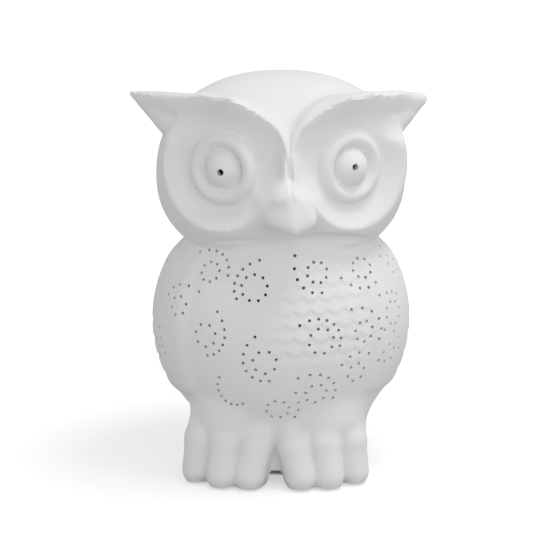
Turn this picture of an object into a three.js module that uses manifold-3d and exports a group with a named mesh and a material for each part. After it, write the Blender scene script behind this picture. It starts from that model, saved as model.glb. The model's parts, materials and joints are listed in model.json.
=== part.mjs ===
// Pierced porcelain owl with a battery light unit that twists into its open base.
// Millimetres, +Z up, the face towards -Y, the origin on the resting surface under the middle of the box.
import * as THREE from "three";
import { mergeVertices } from "three/addons/utils/BufferGeometryUtils.js";
import Module from "manifold-3d";

const wasm = await Module();
wasm.setup();

// ---------------------------------------------------------------- driving dimensions
const GAP = 0.3; // between pieces that touch
const RUNNING_GAP = 0.3; // round a piece that turns or slides

const OWL = { width: 192, depth: 160, height: 264.5 }; // horn tip to horn tip, beak to back, crown to surface
const WALL = 5; // thickness of the cast porcelain
const PUPIL = { radius: 2.2, yaw: 22, shift: 1.2 }; // the owl's left pupil is higher than its right
const FRAME_SHIFT = { x: 4.1, y: 6.4 }; // from the sculpt's own middle to the middle of its box
const CORE_Y = 4; // axis of the mouth, the cavity and the light unit, behind the sculpt's middle

const PAD = { radius: 4.5, thickness: 1.2 };
const MOUTH_RADIUS = 38;
const FLOOR_THICKNESS = 5; // porcelain floor round the mouth
const RECESS = { margin: 5.5, depth: 5.5 }; // underside hollow that keeps the light unit off the surface
const FOOT_RING_WIDTH = 6; // least porcelain left outside the recess
const ARCH = { height: 9, width: 18 }; // notch between the feet

const COLLAR = { wall: 1.9, flangeThickness: 1.3, flangeReach: 4, sleeveAbove: 4.2, barb: 1.6 };
const GASKET_THICKNESS = 0.8;
const TRAY = { wall: 2, floor: 3, height: 22.5, roof: 1.6, boardRib: 2.4 };
const LUG = { count: 3, halfAngle: 5, height: 2.4, reach: 1.7 };
const TWIST = 26; // degrees from locked to free
const CELL = { radius: 5.2, length: 43.3, nubRadius: 1.9, nub: 1 };
const CELL_COUNT = 3;
const CELL_PITCH = 11.2;
const SPRING = { wire: 0.4, radius: 2.6, length: 4.2, turns: 2.5 };
const PLATE = { thickness: 0.5, width: 8.4, height: 8.4, tab: 3, tabRise: 1.8 };
const DOOR = { thickness: 1.8, pinRadius: 1.0, pinLength: 2.4 };
const SWITCH = { length: 12, width: 5.6, height: 5.2, knobWidth: 2.6, knobLength: 4.4, travel: 4, knobDrop: 0.9 };
const BOARD = { radius: 26, thickness: 1.6 };
const LED = { count: 4, size: 5, height: 1.4, lens: 1.7, ring: 15 };
const DRIVER_CHIP = { length: 5, width: 4, height: 1.5 };
const DIFFUSER = { wall: 1.6, height: 34, flangeThickness: 2 };
const SCREW = { count: 3, radius: 1.1, headRadius: 2.3, headHeight: 1.5, length: 7 };
const BOSS_RADIUS = 2.7;
const LEAD_RADIUS = 0.5;

// ---------------------------------------------------------------- heights and radii that follow from them
const RIM_Z = PAD.thickness + GAP;
const RECESS_RADIUS = MOUTH_RADIUS + RECESS.margin;
const FLANGE_RADIUS = MOUTH_RADIUS + COLLAR.flangeReach;
const UNDERSIDE_Z = RIM_Z + RECESS.depth;
const FLOOR_TOP_Z = UNDERSIDE_Z + FLOOR_THICKNESS;
const FLANGE_TOP_Z = UNDERSIDE_Z - GAP - GASKET_THICKNESS - GAP;
const FLANGE_Z = FLANGE_TOP_Z - COLLAR.flangeThickness;
const SLEEVE_RADIUS = MOUTH_RADIUS - GAP;
const SLEEVE_BORE = SLEEVE_RADIUS - COLLAR.wall;
const SLEEVE_TOP_Z = FLOOR_TOP_Z + COLLAR.sleeveAbove;
const TRAY_RADIUS = SLEEVE_BORE - RUNNING_GAP;
const TRAY_INNER = TRAY_RADIUS - TRAY.wall;
const TRAY_Z = RIM_Z + 1.6;
const TRAY_FLOOR_TOP = TRAY_Z + TRAY.floor;
const TRAY_TOP = TRAY_Z + TRAY.height;
const BAY = {
  halfWidth: ((CELL_COUNT - 1) * CELL_PITCH) / 2 + CELL.radius + 0.5,
  halfLength: (CELL.length + CELL.nub + SPRING.length + 2 * (PLATE.thickness + GAP) + 1.2) / 2,
};
const CELL_Z = TRAY_FLOOR_TOP + 0.6 + CELL.radius;
const ROOF_Z = CELL_Z + CELL.radius + 0.6;
const ROOF_TOP = ROOF_Z + TRAY.roof;
const BOARD_Z = ROOF_TOP + TRAY.boardRib + GAP;
const BOARD_TOP = BOARD_Z + BOARD.thickness;
const DIFFUSER_Z = TRAY_TOP + GAP;
const DOME_RADIUS = BOARD.radius - 0.2;
const BOSS_RING = TRAY_INNER - BOSS_RADIUS + 0.8;
const PIN_Z = TRAY_Z + TRAY.floor / 2;
const PIN_Y = BAY.halfLength - DOOR.pinRadius - 0.5;

const SCULPT = { width: 192, depth: 160, height: 264.5 }; // the box that the sculpted sizes below belong to
const STRETCH = new THREE.Vector3(
  OWL.width / SCULPT.width, OWL.depth / SCULPT.depth, OWL.height / SCULPT.height,
);

// ---------------------------------------------------------------- materials
const material = (color, roughness, metalness = 0) =>
  new THREE.MeshStandardMaterial({ color, roughness, metalness });
const PORCELAIN = material(0xdcdad8, 0.75);
const WHITE_ABS = material(0xe8e8e4, 0.45);
const OPAL = material(0xf3f0e6, 0.35);
const FELT = material(0xbdbab4, 0.95);
const FOAM = material(0x6c6c6a, 0.9);
const STEEL = material(0xb9bcc0, 0.3, 1);
const CELL_JACKET = material(0x4c6b8a, 0.35);
const BLACK_ABS = material(0x1c1c1e, 0.5);
const BOARD_MASK = material(0xe6e9e6, 0.5);
const LED_LENS = material(0xf2dc8c, 0.2);
const RED_LEAD = material(0xb0281e, 0.5);
const BLACK_LEAD = material(0x202022, 0.5);

// ---------------------------------------------------------------- solids
// A closed geometry as a manifold-3d solid, and back again.
function solidOf(geometry) {
  const bare = new THREE.BufferGeometry();
  bare.setAttribute("position", geometry.getAttribute("position"));
  if (geometry.index) bare.setIndex(geometry.index);
  const merged = mergeVertices(bare, 1e-4);
  const made = new wasm.Manifold(
    new wasm.Mesh({
      numProp: 3,
      vertProperties: new Float32Array(merged.attributes.position.array),
      triVerts: new Uint32Array(merged.index.array),
    }),
  );
  if (made.volume() < 0) throw new Error("a shape is inside out");
  return made;
}

function geometryOf(solid) {
  const mesh = solid.getMesh();
  const geometry = new THREE.BufferGeometry();
  geometry.setAttribute("position", new THREE.BufferAttribute(mesh.vertProperties, mesh.numProp));
  geometry.setIndex(new THREE.BufferAttribute(mesh.triVerts, 1));
  geometry.computeVertexNormals();
  return geometry;
}

// A profile of [radius, height] points, counter-clockwise in the radius-height plane, turned about Z.
function turned(profile, segments = 48) {
  const points = profile.map(([r, z]) => new THREE.Vector2(r, z));
  return solidOf(new THREE.LatheGeometry(points, segments).rotateX(Math.PI / 2));
}

const ring = (outer, inner, z0, z1, segments) =>
  turned([[inner, z0], [outer, z0], [outer, z1], [inner, z1], [inner, z0]], segments);

const rod = (radius, z0, z1, segments = 16) =>
  solidOf(new THREE.CylinderGeometry(radius, radius, z1 - z0, segments)
    .rotateX(Math.PI / 2).translate(0, 0, (z0 + z1) / 2));

const disc = (radius, z0, z1, segments = 48) => rod(radius, z0, z1, segments);

const block = (x0, x1, y0, y1, z0, z1) =>
  solidOf(new THREE.BoxGeometry(x1 - x0, y1 - y0, z1 - z0)
    .translate((x0 + x1) / 2, (y0 + y1) / 2, (z0 + z1) / 2));

// A round rod along X.
const crossRod = (radius, x0, x1, y, z, segments = 16) =>
  solidOf(new THREE.CylinderGeometry(radius, radius, x1 - x0, segments)
    .rotateZ(Math.PI / 2).translate((x0 + x1) / 2, y, z));

// A piece of a ring between two angles, measured from -Y towards +X.
function ringPiece(outer, inner, from, to, z0, z1, steps = 4) {
  const at = (radius, degrees) => {
    const a = THREE.MathUtils.degToRad(degrees);
    return new THREE.Vector2(radius * Math.sin(a), -radius * Math.cos(a));
  };
  const outside = [];
  const inside = [];
  for (let i = 0; i <= steps; i++) {
    const degrees = from + ((to - from) * i) / steps;
    outside.push(at(outer, degrees));
    inside.unshift(at(inner, degrees));
  }
  const shape = new THREE.Shape([...outside, ...inside]);
  return solidOf(new THREE.ExtrudeGeometry(shape, { depth: z1 - z0, bevelEnabled: false })
    .translate(0, 0, z0));
}

// A round wire or lead swept along a curve.
function swept(curve, radius, steps, sides = 8) {
  const section = new THREE.Shape(
    Array.from({ length: sides }, (_, i) => {
      const a = (2 * Math.PI * i) / sides;
      return new THREE.Vector2(radius * Math.cos(a), radius * Math.sin(a));
    }),
  );
  return new THREE.ExtrudeGeometry(section, { steps, extrudePath: curve, bevelEnabled: false });
}

const joined = (...solids) => solids.reduce((all, next) => all.add(next));
const cutBy = (solid, ...tools) => tools.reduce((rest, tool) => rest.subtract(tool), solid);
const equalAngles = (count, first = 0) =>
  Array.from({ length: count }, (_, i) => first + (360 * i) / count);
const polar = (radius, degrees) => {
  const a = THREE.MathUtils.degToRad(degrees);
  return [radius * Math.sin(a), -radius * Math.cos(a)];
};

function add(group, name, shape, look, place = [0, 0, 0]) {
  const mesh = new THREE.Mesh(shape.isBufferGeometry ? shape : geometryOf(shape), look);
  mesh.name = name;
  mesh.position.set(...place);
  group.add(mesh);
  return mesh;
}

// Round cones through a row of [x, y, z, radius] points, as one solid.
function roundCones(points, sides = 12) {
  const cones = points.slice(1).map(([bx, by, bz, rb], i) => {
    const [ax, ay, az, ra] = points[i];
    const way = new THREE.Vector3(bx - ax, by - ay, bz - az);
    const length = way.length();
    const lean = Math.asin((ra - rb) / length); // where the cone's side leaves both spheres
    const profile = [];
    for (let k = 0; k <= 3; k++) {
      const a = -Math.PI / 2 + ((lean + Math.PI / 2) * k) / 3;
      profile.push(new THREE.Vector2(k === 0 ? 0 : ra * Math.cos(a), ra * Math.sin(a)));
    }
    for (let k = 0; k <= 3; k++) {
      const a = lean + ((Math.PI / 2 - lean) * k) / 3;
      profile.push(new THREE.Vector2(k === 3 ? 0 : rb * Math.cos(a), length + rb * Math.sin(a)));
    }
    const turn = new THREE.Quaternion().setFromUnitVectors(new THREE.Vector3(0, 1, 0), way.normalize());
    return solidOf(new THREE.LatheGeometry(profile, sides).applyQuaternion(turn).translate(ax, ay, az));
  });
  return joined(...cones);
}

// ---------------------------------------------------------------- the sculpted form
// The sculpt has its own sizes, and STRETCH brings it to the owl's. Its smooth masses are fields: about the
// distance in mm to a surface, below zero inside it. Its horns, brows, beak, eyes and toes are solids.
const blend = (a, b, k) => {
  const h = THREE.MathUtils.clamp(0.5 + (0.5 * (b - a)) / k, 0, 1);
  return b + (a - b) * h - k * h * (1 - h);
};
const carve = (a, b, k) => -blend(-a, b, k); // a with b taken away
const smooth = (from, to, t) => THREE.MathUtils.smoothstep(t, from, to);

function ellipsoid(x, y, z, [cx, cy, cz], [rx, ry, rz]) {
  const [X, Y, Z] = [(x - cx) / rx, (y - cy) / ry, (z - cz) / rz];
  const k = Math.hypot(X, Y, Z);
  return (k * (k - 1)) / (Math.hypot(X / rx, Y / ry, Z / rz) + 1e-9);
}

const radians = THREE.MathUtils.degToRad;
const HEAD_TURN = radians(-2.6); // the head looks a little to the owl's right
const FEET_TURN = radians(-8);
const FEET_X = -3; // the feet stand a little to the owl's right
const LEG = {
  halfWidth: Math.max(56, (RECESS_RADIUS + FOOT_RING_WIDTH) / STRETCH.x),
  halfDepth: Math.max(50, (RECESS_RADIUS + FOOT_RING_WIDTH) / STRETCH.y),
  top: 56,
};
const DISH = { centre: new THREE.Vector3(44.5, -55.8, 209.3), yaw: 30, radius: 40.5, depth: 14 };
const BALL = { radius: 14, sink: 1.2 }; // eyeball, its middle below the deepest point of the dish
const BOWL_RADIUS = (DISH.radius ** 2 + DISH.depth ** 2) / (2 * DISH.depth);
const TOES = [
  [[8.5, -33, 51, 9.5], [12.3, -46.5, 28, 11.1], [16.8, -50.5, 8.6, 11]],
  [[28, -31, 53, 9.4], [32.2, -44.5, 29, 10.6], [34.4, -48.2, 8.2, 10.6]],
  [[44.5, -24, 52, 9], [48.8, -36.5, 29, 10.2], [51, -38.5, 8, 10]],
];

// The belly, with a folded wing standing proud on each side of it and a short tail behind.
function torso(px, y, z) {
  const x = Math.abs(px);
  const around = THREE.MathUtils.radToDeg(Math.atan2(x, -(y - 2)));
  const front = px < 0 ? 54 : 41;
  const lowEdge = 57 - 13 * smooth(50, 140, around);
  const wing = smooth(front, front + 8, around) * smooth(lowEdge, lowEdge + 7, z) * (1 - smooth(143, 158, z))
    * (1 - smooth(166, 174, around));
  const belly = ellipsoid(x, y, z, [0, 2, 101], [83.3, 71.5, 84]) - 2.2 * wing;
  return blend(belly, ellipsoid(x, y, z, [0, 50, 46], [21, 24, 34]), 5);
}

function legBlock(x, y, z) {
  const round = Math.cbrt((Math.abs(x) / LEG.halfWidth) ** 3 + (Math.abs(y - CORE_Y) / LEG.halfDepth) ** 3 + 1e-9);
  return carve((round - 1) * LEG.halfDepth, LEG.top - z, 10);
}

function thigh(x, y, z) {
  const across = Math.abs((x - FEET_X) * Math.cos(FEET_TURN) + y * Math.sin(FEET_TURN));
  const forward = -(x - FEET_X) * Math.sin(FEET_TURN) + y * Math.cos(FEET_TURN);
  return ellipsoid(across, forward, z, [30, -28, 44], [27, 25, 26]);
}

const turnedHead = (x, y) => ({
  hx: x * Math.cos(HEAD_TURN) + y * Math.sin(HEAD_TURN),
  hy: -x * Math.sin(HEAD_TURN) + y * Math.cos(HEAD_TURN),
});

// Place along and out from the axis that a dish and its eye share, for a point on the +X side.
const DISH_AXIS = new THREE.Vector3(Math.sin(radians(DISH.yaw)), -Math.cos(radians(DISH.yaw)), 0);
function fromDish(x, y, z) {
  const q = new THREE.Vector3(x, y, z).sub(DISH.centre);
  const along = q.dot(DISH_AXIS);
  return { along, out: Math.sqrt(Math.max(q.lengthSq() - along * along, 1e-9)) };
}

// The skull, with a rounded saucer standing forward of it on each side to carry the dishes.
function skull(x, y, z) {
  const { hx, hy } = turnedHead(x, y);
  const e = 2.25;
  const halfWidth = hx < 0 ? 81.5 : 80.3;
  const high = z > 197 ? 67.5 : 58;
  const k = (Math.abs(hx / halfWidth) ** e + Math.abs((hy - 1.5) / 67.5) ** e
    + Math.abs((z - 197) / high) ** e + 1e-12) ** (1 / e);
  const { along, out } = fromDish(Math.abs(hx), hy, z);
  const [across, thick, back] = [46, 23, 15];
  const s = Math.hypot(out / across, (along + back) / thick);
  const saucer = (s * (s - 1)) / (Math.hypot(out / across ** 2, (along + back) / thick ** 2) + 1e-9);
  return blend((k - 1) * 68, saucer, 4);
}

const tipOf = (side) => [93 - 4.5 * side, -8, 250.4 - 1.8 * side, 3.2 + 0.8 * side]; // side 1 is +X
const hornHollow = (side) => {
  const [x, , z] = tipOf(side);
  return [[40, -92, 221, 45], [66, -68, 232, 30], [x + 6, -32, z - 4, 15]];
};

// Distance to the hollows in the face: the two dishes, and the hollow that runs from each out under its horn.
function hollows(x, y, z) {
  const { hx, hy } = turnedHead(x, y);
  const { along, out } = fromDish(Math.abs(hx), hy, z);
  const bowl = Math.hypot(along - (BOWL_RADIUS - DISH.depth), out) - BOWL_RADIUS;
  const points = hornHollow(Math.sign(hx) || 1);
  const groove = Math.min(...points.slice(1).map(([bx, by, bz, rb], i) => {
    const [ax, ay, az, ra] = points[i];
    const way = new THREE.Vector3(bx - ax, by - ay, bz - az);
    const q = new THREE.Vector3(Math.abs(hx) - ax, hy - ay, z - az);
    const t = THREE.MathUtils.clamp(q.dot(way) / way.lengthSq(), 0, 1);
    return q.addScaledVector(way, -t).length() - (ra + (rb - ra) * t);
  }));
  return Math.min(bowl, groove);
}

const smallestStretch = Math.min(STRETCH.x, STRETCH.y, STRETCH.z);

// The smooth masses of the owl at its real size, and the same with the face hollowed.
function massField(px, py, pz) {
  const [x, y, z] = [px / STRETCH.x, py / STRETCH.y, pz / STRETCH.z];
  const trunk = blend(torso(x, y, z), legBlock(x, y, z), 9);
  return blend(blend(trunk, skull(x, y, z), 4), thigh(x, y, z), 8) * smallestStretch;
}
const hollowedField = (px, py, pz) => Math.max(massField(px, py, pz),
  -hollows(px / STRETCH.x, py / STRETCH.y, pz / STRETCH.z) * smallestStretch);

// ---------------------------------------------------------------- the porcelain shell
const COLUMNS = 50;
const ROWS = { body: 20, crown: 10 };
const FAN_Z = 206 * STRETCH.z; // rays are level below this height and fan out above it
const DIP = { z: 160 * STRETCH.z, spread: 22, degrees: 24 }; // rays dip below the chin, to see its underside

// Angle of a column round the core, closer together at the front.
const columnAngle = (i) => {
  const u = (2 * Math.PI * i) / COLUMNS;
  return u - 0.3 * Math.sin(u);
};

// The ray of a row and column: where it starts on the core and which way it points.
function rayOf(row, angle) {
  let start = FAN_Z;
  let elevation = (Math.PI / 2) * (Math.max(row - ROWS.body, 0) / ROWS.crown) ** 1.15;
  if (row < ROWS.body) {
    const z = RIM_Z + (FAN_Z - RIM_Z) * (row / ROWS.body);
    elevation = -radians(DIP.degrees) * Math.exp(-(((z - DIP.z) / DIP.spread) ** 2));
    start = z - 62 * Math.tan(elevation);
  }
  const level = Math.cos(elevation);
  return {
    from: new THREE.Vector3(0, CORE_Y, start),
    way: new THREE.Vector3(Math.sin(angle) * level, -Math.cos(angle) * level, Math.sin(elevation)),
  };
}

// How far out along a ray the field's surface is, stepping in from outside.
function reach({ from, way }, field) {
  let r = 0.66 * OWL.width + 8;
  for (let i = 0; i < 120; i++) {
    const f = field(from.x + r * way.x, from.y + r * way.y, from.z + r * way.z);
    r -= THREE.MathUtils.clamp(f, -2, 40) * 0.6;
    if (Math.abs(f) < 0.01) break;
  }
  return r;
}

const wrap = (i) => (i + COLUMNS) % COLUMNS;

// A closed solid through rings of points, from its top point down to its bottom point.
function ringedSolid(top, rings, bottom) {
  const index = [];
  const count = rings.length * COLUMNS;
  for (let i = 0; i < COLUMNS; i++) {
    const j = wrap(i + 1);
    index.push(count, i, j, count + 1, count - COLUMNS + j, count - COLUMNS + i);
    for (let row = 0; row < rings.length - 1; row++) {
      const [a, b] = [row * COLUMNS + i, row * COLUMNS + j];
      index.push(a, a + COLUMNS, b, b, a + COLUMNS, b + COLUMNS);
    }
  }
  const positions = [...rings.flat(), top, bottom].flatMap((p) => [p.x, p.y, p.z]);
  const geometry = new THREE.BufferGeometry();
  geometry.setAttribute("position", new THREE.Float32BufferAttribute(positions, 3));
  geometry.setIndex(index);
  return solidOf(geometry);
}

const onAxis = (z) => new THREE.Vector3(0, CORE_Y, z);
const along = (ray, r) => ray.from.clone().addScaledVector(ray.way, r);

// The owl's smooth masses, and the cavity cast inside them.
function castSolids() {
  const rowCount = ROWS.body + ROWS.crown;
  const rays = Array.from({ length: rowCount }, (_, row) =>
    Array.from({ length: COLUMNS }, (_, i) => rayOf(row, columnAngle(i))));
  const reaches = (field) => rays.map((line) => line.map((ray) => reach(ray, field)));
  const outer = reaches(massField);
  const hollowed = reaches(hollowedField);
  // The cavity keeps a wall's thickness inside the nearest of each point's neighbours.
  const nearest = hollowed.map((line, row) => line.map((_, i) => {
    let least = Infinity;
    for (let dr = -1; dr <= 1; dr++) {
      const near = hollowed[THREE.MathUtils.clamp(row + dr, 0, rowCount - 1)];
      for (let di = -1; di <= 1; di++) least = Math.min(least, near[wrap(i + di)]);
    }
    return least;
  }));
  const inner = nearest.map((line) => line.map((_, i) =>
    (line[wrap(i - 1)] + 2 * line[i] + line[wrap(i + 1)]) / 4 - WALL));

  const crownZ = FAN_Z + Math.max(...outer[rowCount - 1]);
  const outside = rays.map((line, row) => line.map((ray, i) => along(ray, outer[row][i]))).reverse();
  const firstInner = rays.findIndex((line) => line[0].from.z > FLOOR_TOP_Z + 6);
  const inside = rays.map((line, row) => line.map((ray, i) => along(ray, inner[row][i])))
    .filter((_, row) => row >= firstInner && (row - firstInner) % 2 === 0).reverse();
  inside.push(inside[inside.length - 1].map((p) => p.clone().setZ(FLOOR_TOP_Z)));
  return {
    mass: ringedSolid(onAxis(crownZ), outside, onAxis(RIM_Z)),
    cavity: ringedSolid(onAxis(crownZ - WALL - 1), inside, onAxis(FLOOR_TOP_Z)),
  };
}

// Sculpt points of the +X side, brought to the owl's size and place on either side of the head or the feet.
function placed(points, side, turn, shiftX = 0) {
  return points.map(([x, y, z, r]) => {
    const [sx, c, s] = [side * x, Math.cos(turn), Math.sin(turn)];
    return [(sx * c - y * s + shiftX) * STRETCH.x, (sx * s + y * c) * STRETCH.y, z * STRETCH.z, r * smallestStretch];
  });
}

function hornAndBrow(side) {
  const tip = tipOf(side);
  const horn = [[41, -19, 230, 24], [70, -14, 239.5, 13.5], tip];
  const brow = [
    [4.3, -78.7, 198, 3.8], [7.8, -79, 215, 5.2], [14.8, -74.5, 227, 6.4], [22.5, -67.5, 238.5, 8.6],
    [36, -57, 246, 9.2], [52, -44, 248.5, 8], [72, -28, 249.5, 6], [tip[0] - 1, tip[1] - 1, tip[2], tip[3]],
  ];
  return joined(roundCones(placed(horn, side, HEAD_TURN), 20), roundCones(placed(brow, side, HEAD_TURN), 12));
}

// The bridge between the dishes, from the beak's root up to where the brows meet.
const bridge = () => roundCones(placed([[0, -69, 186, 7], [0, -64, 216, 5]], 1, HEAD_TURN));

// A shape turned about the axis of one eye dish, from [out, along] points with 0 along at the dish's deepest.
function onDish(profile, side) {
  const points = profile.map(([out, up]) => new THREE.Vector2(out, up - DISH.depth));
  const way = DISH_AXIS.clone();
  way.x *= side;
  const turn = new THREE.Quaternion().setFromUnitVectors(new THREE.Vector3(0, 1, 0), way);
  const { x, y, z } = DISH.centre;
  return solidOf(new THREE.LatheGeometry(points, 32).applyQuaternion(turn).translate(side * x, y, z)
    .rotateZ(HEAD_TURN).scale(STRETCH.x, STRETCH.y, STRETCH.z));
}

function bowlCutter(side) {
  const arc = Array.from({ length: 11 }, (_, i) => {
    const a = radians(5 * i);
    return [BOWL_RADIUS * Math.sin(a), BOWL_RADIUS * (1 - Math.cos(a))];
  });
  const edge = arc[arc.length - 1][0];
  return onDish([...arc, [edge, 70], [0, 70]], side);
}

// An eyeball in a raised ring.
function eye(side) {
  const ringTop = Array.from({ length: 9 }, (_, i) => {
    const a = radians(-10 + 21 * i);
    return [18.2 + 4.8 * Math.cos(a), 3.2 + 6 * Math.sin(a)];
  });
  const ball = Array.from({ length: 7 }, (_, i) => {
    const a = radians(72 * (1 - i / 6));
    return [BALL.radius * Math.sin(a), BALL.radius * Math.cos(a) - BALL.sink];
  });
  ball[6][0] = 0;
  return onDish([[0, -1], [22, -1], ...ringTop, ...ball], side);
}

// A drill through the middle of an eyeball, turned a little less outwards than the dish.
function pupilDrill(side) {
  const yaw = radians(PUPIL.yaw);
  const way = new THREE.Vector3(side * Math.sin(yaw), -Math.cos(yaw), 0);
  const turn = new THREE.Quaternion().setFromUnitVectors(new THREE.Vector3(0, 1, 0), way);
  const { x, y, z } = DISH.centre.clone().addScaledVector(DISH_AXIS, -DISH.depth - BALL.sink);
  const profile = [[0, -20], [PUPIL.radius, -20], [PUPIL.radius, 30], [0, 30]].map(([r, h]) =>
    new THREE.Vector2(r, h));
  return solidOf(new THREE.LatheGeometry(profile, 12).applyQuaternion(turn)
    .translate(side * x, y, z + side * PUPIL.shift).rotateZ(HEAD_TURN).scale(STRETCH.x, STRETCH.y, STRETCH.z));
}

// The beak: a ridged wedge, widest at two blunt corners above its tip.
function beak() {
  const outline = [[3, 203], [8.5, 199], [16.5, 182], [14, 177], [2, 170.5]];
  const ridge = (z) => -86 + 0.17 * (z - 175);
  const shape = new THREE.Shape([...outline, ...outline.map(([x, z]) => [-x, z]).reverse()]
    .map(([x, z]) => new THREE.Vector2(x, z)));
  const slab = new THREE.ExtrudeGeometry(shape, { depth: 34, bevelEnabled: false })
    .rotateX(Math.PI / 2).translate(0, -60, 0);
  // Two wide blocks, turned to the slope of the cheeks, trim the slab's front to a ridge.
  const trims = [-1, 1].map((side) => solidOf(new THREE.BoxGeometry(110, 40, 120).translate(side * 25, -20, 0)
    .rotateZ(side * Math.atan(0.5)).rotateX(-Math.atan(0.17)).translate(0, ridge(187), 187)));
  const solid = cutBy(solidOf(slab), ...trims);
  return solidOf(geometryOf(solid).rotateZ(HEAD_TURN).scale(STRETCH.x, STRETCH.y, STRETCH.z));
}

const foot = (side) => joined(...TOES.map((toe) => roundCones(placed(toe, side, FEET_TURN, FEET_X))));

// The notch between the feet, an arch that runs in from the front to the recess.
function archCutter() {
  const shape = new THREE.Shape([new THREE.Vector2(-ARCH.width / 2, -ARCH.height),
    new THREE.Vector2(ARCH.width / 2, -ARCH.height)]);
  shape.absellipse(0, 0, ARCH.width / 2, ARCH.height, 0, Math.PI, false);
  const length = OWL.depth / 2;
  return solidOf(new THREE.ExtrudeGeometry(shape, { depth: length, bevelEnabled: false, curveSegments: 10 })
    .rotateX(Math.PI / 2).translate(0, 0, RIM_Z).rotateZ(FEET_TURN).translate(FEET_X * STRETCH.x, 0, 0));
}

function shellSolid() {
  const { mass, cavity } = castSolids();
  const sides = [-1, 1];
  const wide = OWL.width + OWL.depth;
  const under = block(-wide, wide, -wide, wide, -wide, RIM_Z);
  const head = joined(mass, ...sides.map(hornAndBrow));
  const hollowed = cutBy(head, ...sides.flatMap((side) => [
    bowlCutter(side), roundCones(placed(hornHollow(side), side, HEAD_TURN), 28),
  ]), archCutter());
  const whole = joined(hollowed, bridge(), beak(), ...sides.map(eye), ...sides.map(foot));
  const inset = (solid) => solid.translate(0, CORE_Y, 0);
  return cutBy(whole, under, cavity, ...sides.map(pupilDrill),
    inset(disc(RECESS_RADIUS, RIM_Z - 1, UNDERSIDE_Z)), inset(disc(MOUTH_RADIUS, RIM_Z, FLOOR_TOP_Z + 1)));
}

// ---------------------------------------------------------------- the base: pads, gasket and collar
const BARB_ANGLES = equalAngles(3, 60);
const LUG_ANGLES = equalAngles(LUG.count); // where the lugs lie when locked
const LUG_Z = FLANGE_TOP_Z + 3;

function collarSolid() {
  const flange = ring(FLANGE_RADIUS, SLEEVE_BORE, FLANGE_Z, FLANGE_TOP_Z);
  const sleeve = ring(SLEEVE_RADIUS, SLEEVE_BORE, FLANGE_Z, SLEEVE_TOP_Z);
  const barbs = BARB_ANGLES.map((angle) => ringPiece(
    SLEEVE_RADIUS + COLLAR.barb, SLEEVE_BORE, angle - 5, angle + 5, FLOOR_TOP_Z + GAP, SLEEVE_TOP_Z,
  ));
  const lugRoom = LUG_Z + LUG.height + 0.4;
  // Each slot lets a lug in from below and holds it at the far end of a level run.
  const slots = LUG_ANGLES.flatMap((locked) => {
    const free = locked - TWIST;
    return [
      ringPiece(SLEEVE_RADIUS + 0.5, SLEEVE_BORE - 0.5, free - LUG.halfAngle - 1.5, free + LUG.halfAngle + 1.5,
        FLANGE_Z - 0.5, lugRoom),
      ringPiece(SLEEVE_RADIUS + 0.5, SLEEVE_BORE - 0.5, free, locked + LUG.halfAngle + 1, LUG_Z - 0.4, lugRoom),
    ];
  });
  return cutBy(joined(flange, sleeve, ...barbs), ...slots);
}

// ---------------------------------------------------------------- the light unit
const DOOR_SIZE = { halfWidth: BAY.halfWidth - RUNNING_GAP, front: -BAY.halfLength + RUNNING_GAP };
const SWITCH_X = BAY.halfWidth + 1.5 + SWITCH.width / 2 + 1.2;
const SWITCH_Z = TRAY_FLOOR_TOP + GAP;
const BOSS_ANGLES = equalAngles(SCREW.count, 90);

// Where the two end contacts' solder tabs come up through the bay's roof.
const cellX = (i) => (i - (CELL_COUNT - 1) / 2) * CELL_PITCH;
const PLATE_Y = BAY.halfLength - GAP - PLATE.thickness / 2;
const TABS = [[cellX(0), -PLATE_Y], [cellX(CELL_COUNT - 1), PLATE_Y]];

const bossPlaces = () => BOSS_ANGLES.map((angle) => polar(BOSS_RING, angle));

function trayCuts() {
  const bay = block(-BAY.halfWidth, BAY.halfWidth, -BAY.halfLength, BAY.halfLength, TRAY_Z - 1, ROOF_Z);
  const pilots = bossPlaces().map(([x, y]) =>
    rod(SCREW.radius + GAP, ROOF_TOP + 0.2, TRAY_TOP + 1).translate(x, y, 0));
  const pinHole = crossRod(DOOR.pinRadius + 0.2, -BAY.halfWidth - DOOR.pinLength, BAY.halfWidth + DOOR.pinLength,
    PIN_Y, PIN_Z);
  const knobRoom = (SWITCH.knobLength + SWITCH.travel) / 2 + RUNNING_GAP;
  const knobSlot = block(SWITCH_X - SWITCH.knobWidth / 2 - RUNNING_GAP, SWITCH_X + SWITCH.knobWidth / 2 + RUNNING_GAP,
    -knobRoom, knobRoom, TRAY_Z - 1, TRAY_FLOOR_TOP + 1);
  const thumbNotch = block(-5, 5, -BAY.halfLength - 2.4, -BAY.halfLength + 1, TRAY_Z - 1, TRAY_Z + 1.4);
  const tabSlots = TABS.map(([x, y]) =>
    block(x - PLATE.tab / 2 - GAP, x + PLATE.tab / 2 + GAP, y - PLATE.thickness / 2 - GAP,
      y + PLATE.thickness / 2 + GAP, ROOF_Z - 1, ROOF_TOP + 1));
  return [bay, ...pilots, pinHole, knobSlot, thumbNotch, ...tabSlots];
}

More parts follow.
